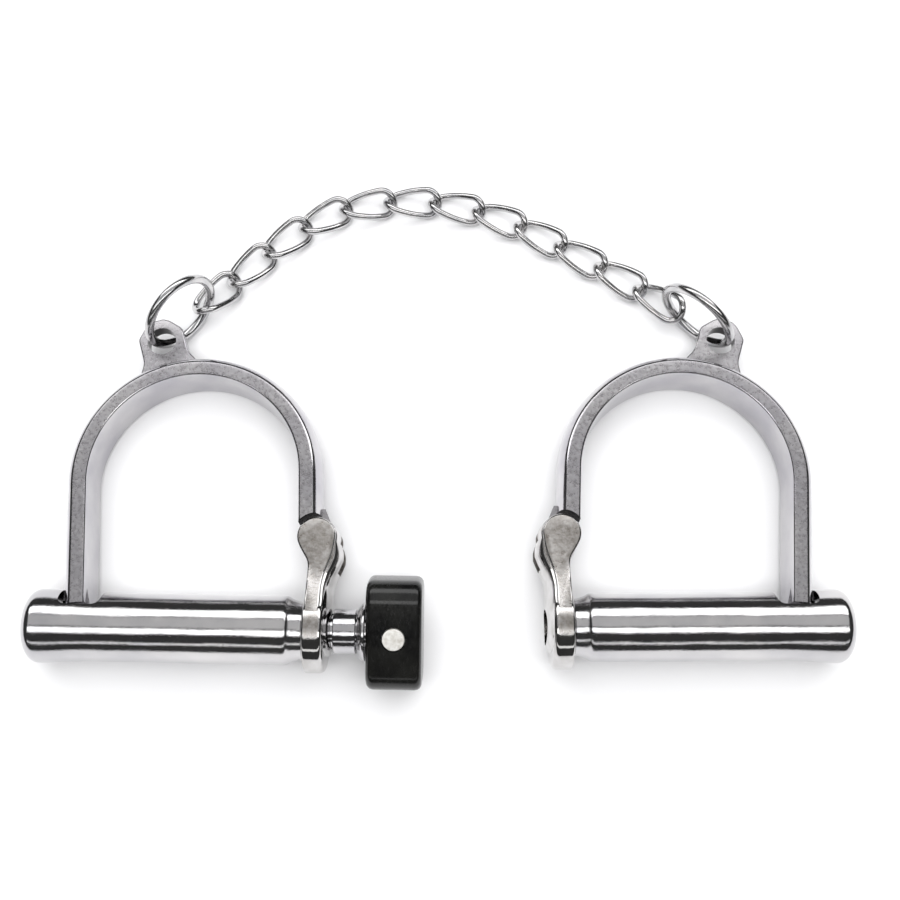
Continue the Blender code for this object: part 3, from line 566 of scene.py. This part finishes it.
def threaded_bolt():
    """Bolt turned about X. Its tail carries a screw thread with one start: the radius is r - depth * (1
    - |2 frac(x / pitch + a / 2 pi) - 1|), with a pitch of 1 mm, the slide for one turn of the key."""
    body = soften([
        (0.0600, STEM_R, 0.0), (HEAD_BACK_X, STEM_R, 0.0001), (HEAD_BACK_X, SPIGOT_R, 0.0003),
        (HEAD_FACE_X, SPIGOT_R, 0.0004), (HEAD_FACE_X, NOSE_R, 0.0001), (0.0192, NOSE_R, 0.0003),
        (NOSE_TIP_X, 0.0012, 0.0002), (NOSE_TIP_X, 0.0, 0.0)], 5)
    tail_x = np.concatenate([np.full(1, TAIL_TIP_X), np.linspace(TAIL_TIP_X, 0.0601, 150)])
    tail_r = np.concatenate([np.zeros(1), np.full(150, TAIL_R)])
    tail_r[1:5] -= np.array([0.0004, 0.0003, 0.0002, 0.0001])
    profile = np.concatenate([np.stack([tail_x, tail_r], axis=1), body])
    a = np.linspace(0, 2 * np.pi, 64, endpoint=False)
    x = np.repeat(profile[:, :1], 64, axis=1)
    cut = 1 - np.abs(2 * np.mod(x / THREAD_PITCH + a / (2 * np.pi), 1) - 1)
    threaded = (x > 0.0603) & (x < 0.0712) & (profile[:, 1:] > 0.0021)
    r = profile[:, 1:] - THREAD_DEPTH * cut * threaded
    return skin("bolt", np.stack([x, r * np.cos(a), r * np.sin(a)], axis=-1))


fit_to_cuffs(threaded_bolt(), "bolt_bar", "bolt", "lock_bolt", steel_finish, 50)


# --- Bows ---------------------------------------------------------------------------------------------
# Each bow is a half-round bar, hammered hot round a former to a D. A hinge eye is worked on one end and
# a curved, notched tongue on the other, and the flat lug for the ring is brazed on near the top. It is
# polished and plated.

def bar_plate():
    """Plate on the bow: bright on the inner and outer faces, darker and grainy on the flat sides that
    face along Z, where the bar was only filed. Painted shade: a value stored on the piece's faces lays
    near black over the walls of the hollow round the knuckle and of the ring's hole, where shade falls."""
    finish, nodes, links, shader, place = new_finish("bar_plate", 1.0)
    flat_side = on_flat_side(nodes, links, 0.0, 0.86, 0.985)
    grain = noise(nodes, links, place, 1100, 5.0, (1, 1, 1), 0.65)
    waves = noise(nodes, links, place, 120, 2.0)
    tone = noise(nodes, links, place, 90, 4.0)
    colour = blend_colours(nodes, links, tone, (0.46, 0.45, 0.48), (0.58, 0.57, 0.58))
    filed = arithmetic(nodes, links, "MULTIPLY", spread_to(nodes, links, grain, 0.85, 0.35), flat_side)
    colour = lay_over(nodes, links, filed, colour, (0.23, 0.22, 0.23))
    # Painted shade: near black laid over the walls of the knuckle hollow and the ring's hole, where shade
    # falls.
    painted_shade = nodes.new("ShaderNodeAttribute")
    painted_shade.attribute_name = "painted_shade"
    colour = lay_over(nodes, links, painted_shade.outputs["Fac"], colour, (0.012, 0.011, 0.010))
    links.new(colour, shader.inputs["Base Color"])
    dull = arithmetic(nodes, links, "MULTIPLY", spread_to(nodes, links, grain, 0.14, 0.30), flat_side)
    links.new(arithmetic(nodes, links, "ADD", dull, 0.08), shader.inputs["Roughness"])
    filing = arithmetic(nodes, links, "MULTIPLY", grain, flat_side)
    bumps(nodes, links, shader, [(waves, 0.00015, 0.25), (filing, 0.00009, 0.55)])
    return finish


bar_finish = bar_plate()
ARCH_X = 0.0381
ARCH_Y = 0.0376
ARCH_R = 0.0264
STRAP_EDGE = 0.0032
STRAP_CROWN = 0.0025
ARCH_START = math.radians(3.2)
ARCH_END = math.radians(185.2)
KNUCKLE_CLEARANCE = 0.0011


def bow_bar():
    """Half-round section carried along a D: up one leg, round the arch and down the other. A point is
    base + outward * o with height z across the bar, and the section (o, z) is flat inside and crowned
    outside."""
    half = HALF_WIDTH
    soft = 0.0006
    q = np.linspace(0, np.pi / 2, 7)
    corner = np.stack([soft - soft * np.sin(q), half - soft + soft * np.cos(q)], axis=1)
    flat = np.linspace(half - soft, -half + soft, 9)[1:-1]
    inner = np.concatenate([corner, np.stack([0 * flat, flat], axis=1), corner[::-1] * (1, -1)])
    side = np.linspace(0.0009, STRAP_EDGE, 5)
    t = np.linspace(-np.pi / 2, np.pi / 2, 33)
    crown = np.stack([STRAP_EDGE + STRAP_CROWN * np.cos(t), half * np.sin(t)], axis=1)
    low_side = np.stack([side[:-1], np.full(4, -half)], axis=1)
    high_side = np.stack([side[:-1][::-1], np.full(4, half)], axis=1)
    section = np.concatenate([inner, low_side, crown, high_side])
    centre = np.array([ARCH_X, ARCH_Y])
    start = np.array([math.cos(ARCH_START), math.sin(ARCH_START)])
    down = np.array([math.sin(ARCH_START), -math.cos(ARCH_START)])
    first_top = centre + start * ARCH_R
    first_length = (first_top[1] - PIN_Y - 0.0020) / math.cos(ARCH_START)
    first = first_top + down * np.linspace(first_length, 0, 16)[:-1, None]
    a = np.linspace(ARCH_START, ARCH_END, 120)
    arch_out = np.stack([np.cos(a), np.sin(a)], axis=1)
    arch = centre + arch_out * ARCH_R
    onward = np.array([-math.sin(ARCH_END), math.cos(ARCH_END)])
    drop = (arch[-1, 1] - NOTCH_FLOOR_Y - 0.0007) / -onward[1]
    last = arch[-1] + onward * np.linspace(0, drop, 24)[1:, None]
    base = np.concatenate([first, arch, last])
    outward = np.concatenate([np.repeat(start[None], len(first), axis=0), arch_out,
                              np.repeat(arch_out[-1:], len(last), axis=0)])
    flat_part = base[:, None] + outward[:, None] * section[None, :, :1]
    height = np.broadcast_to(section[None, :, 1:], flat_part.shape[:2] + (1,))
    return skin("bow", np.concatenate([flat_part, height], axis=-1))


knuckle_room = round_bar(KNUCKLE_R + KNUCKLE_CLEARANCE, -PAST_BAR, PAST_BAR, (PIN_X, PIN_Y), 160)
bow = combine(bow_bar(), knuckle_room, "DIFFERENCE")
EYE_HALF = FORK_GAP / 2 - FIT_GAP
a = np.radians(np.linspace(170, 372, 64))
EYE_R = KNUCKLE_R - FIT_GAP
eye_round = np.stack([EYE_R * np.cos(a), EYE_R * np.sin(a)], axis=1)
eye = np.concatenate([eye_round, [(0.0014, 0.0078), (-0.0043, 0.0078)]]) + (PIN_X, PIN_Y)
bow = combine(bow, plate("eye", eye, -EYE_HALF, EYE_HALF), "UNION")
bow = combine(bow, round_bar(PIN_R + FIT_GAP, -PAST_BAR, PAST_BAR, (PIN_X, PIN_Y)), "DIFFERENCE")

TONGUE_R = 0.0573
TONGUE_THICK = 0.0041
TONGUE_HALF = 0.0036
TONGUE_TOP_Y = 0.0100
TIP_Y = -0.0047
CATCH_DEPTH = 0.0029
CATCH_HALF = 0.0025


def round_pin(radius, y):
    """Points on a circle about the hinge pin, on the flared end's side, at heights y: x = -sqrt(r^2 -
    drop^2)."""
    y = np.asarray(y, float)
    return np.stack([PIN_X - np.sqrt(radius ** 2 - (PIN_Y - y) ** 2), y], axis=-1)


tongue = np.concatenate([
    round_pin(TONGUE_R + TONGUE_THICK, np.linspace(TONGUE_TOP_Y, TIP_Y + 0.0008, 24)),
    round_pin(TONGUE_R + TONGUE_THICK - 0.0008, [TIP_Y]), round_pin(TONGUE_R + 0.0006, [TIP_Y]),
    round_pin(TONGUE_R, [TIP_Y + 0.0006, -CATCH_HALF]),
    round_pin(TONGUE_R + CATCH_DEPTH, [-CATCH_HALF, CATCH_HALF]),
    round_pin(TONGUE_R, np.linspace(CATCH_HALF, TONGUE_TOP_Y, 16))])
bow = combine(bow, plate("tongue", tongue, -TONGUE_HALF, TONGUE_HALF), "UNION")

LUG_ANGLE = math.radians(108)
LUG_REACH = 0.0392
LUG_HOLE_R = 0.0037
LUG_HALF = 0.0019
LUG_EDGE = 0.0004
PAST_LUG = 0.0060
WALL_REACH = 0.0001
out = np.array([math.cos(LUG_ANGLE), math.sin(LUG_ANGLE)])
across = np.array([-out[1], out[0]])
lug_corners = np.array([
    (0.0294, 0.0081, 0.0001), (0.0322, 0.0072, 0.0010), (0.0345, 0.0059, 0.0015), (0.0414, 0.0059, 0.0008),
    (0.0444, 0.0033, 0.0007), (0.0454, 0.0017, 0.0006)])
lug_half = np.concatenate([lug_corners, lug_corners[::-1] * (1, -1, 1)])
lug_spots = np.array([ARCH_X, ARCH_Y]) + lug_half[:, :1] * out + lug_half[:, 1:2] * across
lug = soften(np.concatenate([lug_spots, lug_half[:, 2:]], axis=1), 5)
bow = combine(bow, plate("lug", lug, -LUG_HALF, LUG_HALF, LUG_EDGE), "UNION")
hole = np.array([ARCH_X, ARCH_Y]) + LUG_REACH * out
bow = combine(bow, round_bar(LUG_HOLE_R, -PAST_LUG, PAST_LUG, tuple(hole)), "DIFFERENCE")
# Painted shade: faces on the walls of the hollow round the knuckle and of the ring's hole are marked to be
# painted near black, where shade falls.
middles = np.array([face.center for face in bow.polygons])
upright = np.abs(np.array([face.normal for face in bow.polygons])[:, 2]) < 0.5
from_pin = np.hypot(middles[:, 0] - PIN_X, middles[:, 1] - PIN_Y)
from_hole = np.hypot(middles[:, 0] - hole[0], middles[:, 1] - hole[1])
in_hollow = upright & (np.abs(from_pin - KNUCKLE_R - KNUCKLE_CLEARANCE) < WALL_REACH)
in_hole = upright & (np.abs(from_hole - LUG_HOLE_R) < WALL_REACH)
wall_shade = np.maximum(in_hollow * 1.0, in_hole * 0.9)
bow.attributes.new("painted_shade", "FLOAT", "FACE").data.foreach_set("value", wall_shade)
fit_to_cuffs(bow, "bow_bar", "bow", "bow", bar_finish)


# --- Rings --------------------------------------------------------------------------------------------
# A ring of bright plated wire hangs in each lug. It is bent from round wire and butt welded, with the
# weld filed smooth, and is rubbed a little dull in patches.

def wire_plate():
    """Bright plated wire: drawing lines are lost, and small dings and dull rubbed patches remain."""
    finish, nodes, links, shader, place = new_finish("wire_plate", 1.0)
    tone = noise(nodes, links, place, 240, 3.0)
    colour = blend_colours(nodes, links, tone, (0.46, 0.46, 0.47), (0.62, 0.61, 0.61))
    links.new(colour, shader.inputs["Base Color"])
    rub = noise(nodes, links, place, 520, 4.0)
    links.new(spread_to(nodes, links, rub, 0.12, 0.24), shader.inputs["Roughness"])
    dings = noise(nodes, links, place, 700, 3.0)
    bumps(nodes, links, shader, [(dings, 0.00006, 0.35)])
    return finish


wire_finish = wire_plate()
RING_R = 0.01015
RING_WIRE_R = 0.00120


def node_axes(node):
    """Middle of a plain node and its long, middle and short directions, from its points' principal
    axes."""
    spots = np.array([vertex.co for vertex in frame["nodes"][node].data.vertices])
    middle = spots.mean(axis=0)
    axes = np.linalg.svd(spots - middle, full_matrices=False)[2]
    reach = (spots - middle) @ axes.T
    return middle + (reach.max(axis=0) + reach.min(axis=0)) / 2 @ axes, axes


for side in ("left", "right"):
    middle, axes = node_axes(f"{side}_ring")
    a = np.linspace(0, 2 * np.pi, 144, endpoint=False)
    circle = middle + RING_R * (np.cos(a)[:, None] * axes[0] + np.sin(a)[:, None] * axes[1])
    show(round_wire("ring", circle, RING_WIRE_R, 28, True), f"{side}_ring_wire", f"{side}_ring",
         f"{side}_ring", wire_finish)


# --- Chain links --------------------------------------------------------------------------------------
# Twelve curb links join the rings. Each is a stadium of plated wire, closed in the one before and then
# twisted a quarter turn, so that the chain lies flat and smooth.

LINK_LENGTH = 0.01635
LINK_WIDTH = 0.0088
LINK_WIRE_R = 0.00091
LINK_TWIST = math.radians(90)


def link_path():
    """Centreline along X: a stadium (x, w), turned about X by an angle that grows with x: (x, w cos g,
    w sin g)."""
    end_r = LINK_WIDTH / 2 - LINK_WIRE_R
    straight = LINK_LENGTH / 2 - LINK_WIRE_R - end_r
    a = np.linspace(-np.pi / 2, np.pi / 2, 45)
    run = np.linspace(straight, -straight, 46)[1:-1]
    x = np.concatenate([straight + end_r * np.cos(a), run, -straight - end_r * np.cos(a), -run])
    w = np.concatenate([end_r * np.sin(a), np.full(44, end_r), -end_r * np.sin(a), np.full(44, -end_r)])
    g = LINK_TWIST * x / (LINK_LENGTH - 2 * LINK_WIRE_R)
    return np.stack([x, w * np.cos(g), w * np.sin(g)], axis=1)


link_count = sum(name.startswith("link_") for name in frame["nodes"])
for number in range(1, link_count + 1):
    node = f"link_{number:02d}"
    middle, axes = node_axes(node)
    ahead = axes[0]
    level = np.cross((0, 0, 1), ahead)
    level = level / np.linalg.norm(level)
    turned_path = middle + link_path() @ np.stack([ahead, level, np.cross(ahead, level)])
    show(round_wire("link", turned_path, LINK_WIRE_R, 32, True), f"{node}_wire", node, node,
         wire_finish)


# --- Screw key ----------------------------------------------------------------------------------------
# The key stands in the left cuff. Its bright turned shank ends in a hollow threaded nose, a dished
# ferrule backs the handle, and a pale pin through the black moulded handle keeps it from turning on the
# shank.

COLLAR_END = 0.0803
COLLAR_START = 0.0748
NOSE_X = 0.0615
NOSE_BORE_R = 0.0029
SHANK_R = 0.0040
FERRULE_LENGTH = 0.0020
TANG_LENGTH = 0.0110
SOCKET_R = 0.0043
FERRULE_X = COLLAR_END + FIT_GAP
HANDLE_X = FERRULE_X + FERRULE_LENGTH + FIT_GAP
HANDLE_LENGTH = 0.0135
HANDLE_TURN = math.radians(24)
TAIL_END = COLLAR_END + FERRULE_LENGTH + TANG_LENGTH


def on_left_barrel(mesh, name, node, finish, grip_turn=0.0):
    """A piece of the key, turned about the barrel's axis and stood in the left cuff."""
    mesh.transform(cuff_place("left") @ Matrix.Rotation(grip_turn, 4, "X"))
    show(mesh, name, "key", node, finish)


shank_outline = soften([
    (TAIL_END, 0.0, 0.0), (TAIL_END, SHANK_R, 0.0003), (COLLAR_END, SHANK_R, 0.0001),
    (COLLAR_END, 0.0055, 0.0003), (COLLAR_START, 0.0055, 0.0004), (COLLAR_START, SHANK_R, 0.0001),
    (NOSE_X, SHANK_R, 0.0003), (NOSE_X, NOSE_BORE_R, 0.0003), (0.0755, NOSE_BORE_R, 0.0001),
    (0.0765, 0.0, 0.0)], 6)
shank = turn("shank", shank_outline, 112)
CROSS_X = HANDLE_X + HANDLE_LENGTH / 2
CROSS_R = 0.0027
PAST_HANDLE = 0.0120
cross_bore = round_bar(CROSS_R + FIT_GAP, -PAST_HANDLE, PAST_HANDLE, (CROSS_X, 0.0))
cross_bore.transform(Matrix.Rotation(HANDLE_TURN, 4, "X"))
shank = combine(shank, cross_bore, "DIFFERENCE")
on_left_barrel(shank, "key_shank_bar", "key_shank", plate_finish)

ferrule_outline = soften([
    (FERRULE_X + FERRULE_LENGTH, 0.0072, 0.0003), (FERRULE_X + 0.0012, 0.0071, 0.0006),
    (FERRULE_X, 0.0056, 0.0005), (FERRULE_X, SOCKET_R, 0.0001),
    (FERRULE_X + FERRULE_LENGTH, SOCKET_R, 0.0001)], 6)
on_left_barrel(turn("ferrule", ferrule_outline, 112), "key_ferrule_ring", "key_ferrule",
               plate_finish)


def black_moulding():
    """Hard black moulding: near black with brown-grey cloudiness, a worn gloss, and fine handling
    scratches."""
    finish, nodes, links, shader, place = new_finish("black_moulding", 0.0, 0.35)
    tone = noise(nodes, links, place, 170, 4.0)
    colour = blend_colours(nodes, links, tone, (0.003, 0.003, 0.003), (0.010, 0.010, 0.009))
    links.new(colour, shader.inputs["Base Color"])
    scratches = noise(nodes, links, place, 1800, 5.0, (1, 0.12, 1), 0.6)
    links.new(spread_to(nodes, links, scratches, 0.14, 0.30), shader.inputs["Roughness"])
    shader.inputs["Coat Weight"].default_value = 0.2
    shader.inputs["Coat Roughness"].default_value = 0.12
    orange_peel = noise(nodes, links, place, 500, 2.0)
    bumps(nodes, links, shader, [(orange_peel, 0.00005, 0.25), (scratches, 0.00001, 0.4)])
    return finish


def pale_disc():
    """Pale, smooth pin end: warm grey-white with faint dirt and rubbed gloss."""
    finish, nodes, links, shader, place = new_finish("pale_disc", 0.0, 0.5)
    dirt = noise(nodes, links, place, 900, 4.0)
    colour = blend_colours(nodes, links, dirt, (0.46, 0.44, 0.40), (0.70, 0.69, 0.66), 0.3, 0.6)
    links.new(colour, shader.inputs["Base Color"])
    links.new(spread_to(nodes, links, dirt, 0.45, 0.25), shader.inputs["Roughness"])
    bumps(nodes, links, shader, [(dirt, 0.00003, 0.3)])
    return finish


SPAN = 0.0270
THICK = 0.0145
CORNER = 0.0050
HANDLE_ROUND = 0.0017


def corner_round(centre_x, centre_y, start):
    """Quarter circle of the handle's end outline."""
    a = np.radians(np.linspace(start, start + 90, 12))
    return np.stack([centre_x + CORNER * np.cos(a), centre_y + CORNER * np.sin(a)], axis=1)


x_in = THICK / 2 - CORNER
y_in = SPAN / 2 - CORNER
end_outline = np.concatenate([corner_round(x_in, y_in, 0), corner_round(-x_in, y_in, 90),
                              corner_round(-x_in, -y_in, 180), corner_round(x_in, -y_in, 270)])
handle = plate("handle", end_outline, HANDLE_X, HANDLE_X + HANDLE_LENGTH, HANDLE_ROUND)
handle.transform(along_x)
socket = round_bar(SOCKET_R, HANDLE_X - 0.0040, TAIL_END + FIT_GAP)
socket.transform(along_x)
handle = combine(handle, socket, "DIFFERENCE")
pin_bore = round_bar(CROSS_R + FIT_GAP, -PAST_HANDLE, PAST_HANDLE, (CROSS_X, 0.0))
handle = combine(handle, pin_bore, "DIFFERENCE")
on_left_barrel(handle, "key_handle_block", "key_handle", black_moulding(), HANDLE_TURN)

a = np.linspace(0, 2 * np.pi, 64, endpoint=False)
disc = np.stack([CROSS_X + CROSS_R * np.cos(a), CROSS_R * np.sin(a)], axis=1)
CROSS_PROUD = 0.0001
cross = plate("cross", disc, -THICK / 2 - CROSS_PROUD, THICK / 2 + CROSS_PROUD, 0.0003)
on_left_barrel(cross, "key_cross_rod", "key_cross_pin", pale_disc(), HANDLE_TURN)


# --- Floor, light and camera --------------------------------------------------------------------------
# The set lies on white paper in a dim, plain room. Three long soft boxes hang over it, behind, above
# and in front, with a dimmer wide one between, and run along the barrels. A lamp above fills the paper.

bpy.ops.mesh.primitive_plane_add(size=12.0, location=(0, 0, cad_low[2] - 0.0001))
floor = bpy.context.object
floor.name = "floor"
paper = bpy.data.materials.new("white_paper")
paper.use_nodes = True
paper.node_tree.nodes["Principled BSDF"].inputs["Base Color"].default_value = (0.93, 0.93, 0.94, 1)
paper.node_tree.nodes["Principled BSDF"].inputs["Roughness"].default_value = 0.9
floor.data.materials.append(paper)

room = bpy.data.worlds.new("room")
bpy.context.scene.world = room
room.use_nodes = True
ROOM_GREY = 0.05
room.node_tree.nodes["Background"].inputs["Color"].default_value = (ROOM_GREY, ROOM_GREY, ROOM_GREY, 1)


def soft_box(name, tilt, depth, length, power, distance=0.9):
    """Rectangular soft box facing the set, tilted from straight up towards the front by an angle in
    degrees."""
    box = bpy.data.lights.new(name, "AREA")
    box.shape = "RECTANGLE"
    box.size = length
    box.size_y = depth
    box.energy = power
    stand = bpy.data.objects.new(name, box)
    lean = math.radians(tilt)
    stand.location = (0, -distance * math.sin(lean), distance * math.cos(lean))
    stand.rotation_euler = (lean, 0, 0)
    bpy.context.scene.collection.objects.link(stand)
    return stand


BOX_LENGTH = 1.8
soft_box("box_behind", -42, 0.40, BOX_LENGTH, 6.0)
soft_box("box_ceiling", -9, 0.56, BOX_LENGTH, 2.0)
soft_box("box_above", 21, 0.24, BOX_LENGTH, 3.6)
soft_box("box_front", 62, 0.10, BOX_LENGTH, 0.7)
fill = soft_box("fill", 0, 4.0, 4.0, 80.0, 3.0)
fill.visible_glossy = False

centre_x = (cad_low[0] + cad_high[0]) / 2
centre_y = (cad_low[1] + cad_high[1]) / 2
target = np.array([centre_x + 0.0028, centre_y - 0.0057, 0.0])
ELEVATION = math.radians(75)
DISTANCE = 0.320
away = np.array([0.0, -math.cos(ELEVATION), math.sin(ELEVATION)])
view = bpy.data.cameras.new("view")
view.sensor_width = 36
view.lens = 48.8
view.clip_start = 0.01
view.clip_end = 20
camera = bpy.data.objects.new("view", view)
camera.location = target + DISTANCE * away
camera.rotation_euler = (math.pi / 2 - ELEVATION, 0, 0)
bpy.context.scene.collection.objects.link(camera)
bpy.context.scene.camera = camera
bpy.context.scene.view_settings.view_transform = "Standard"
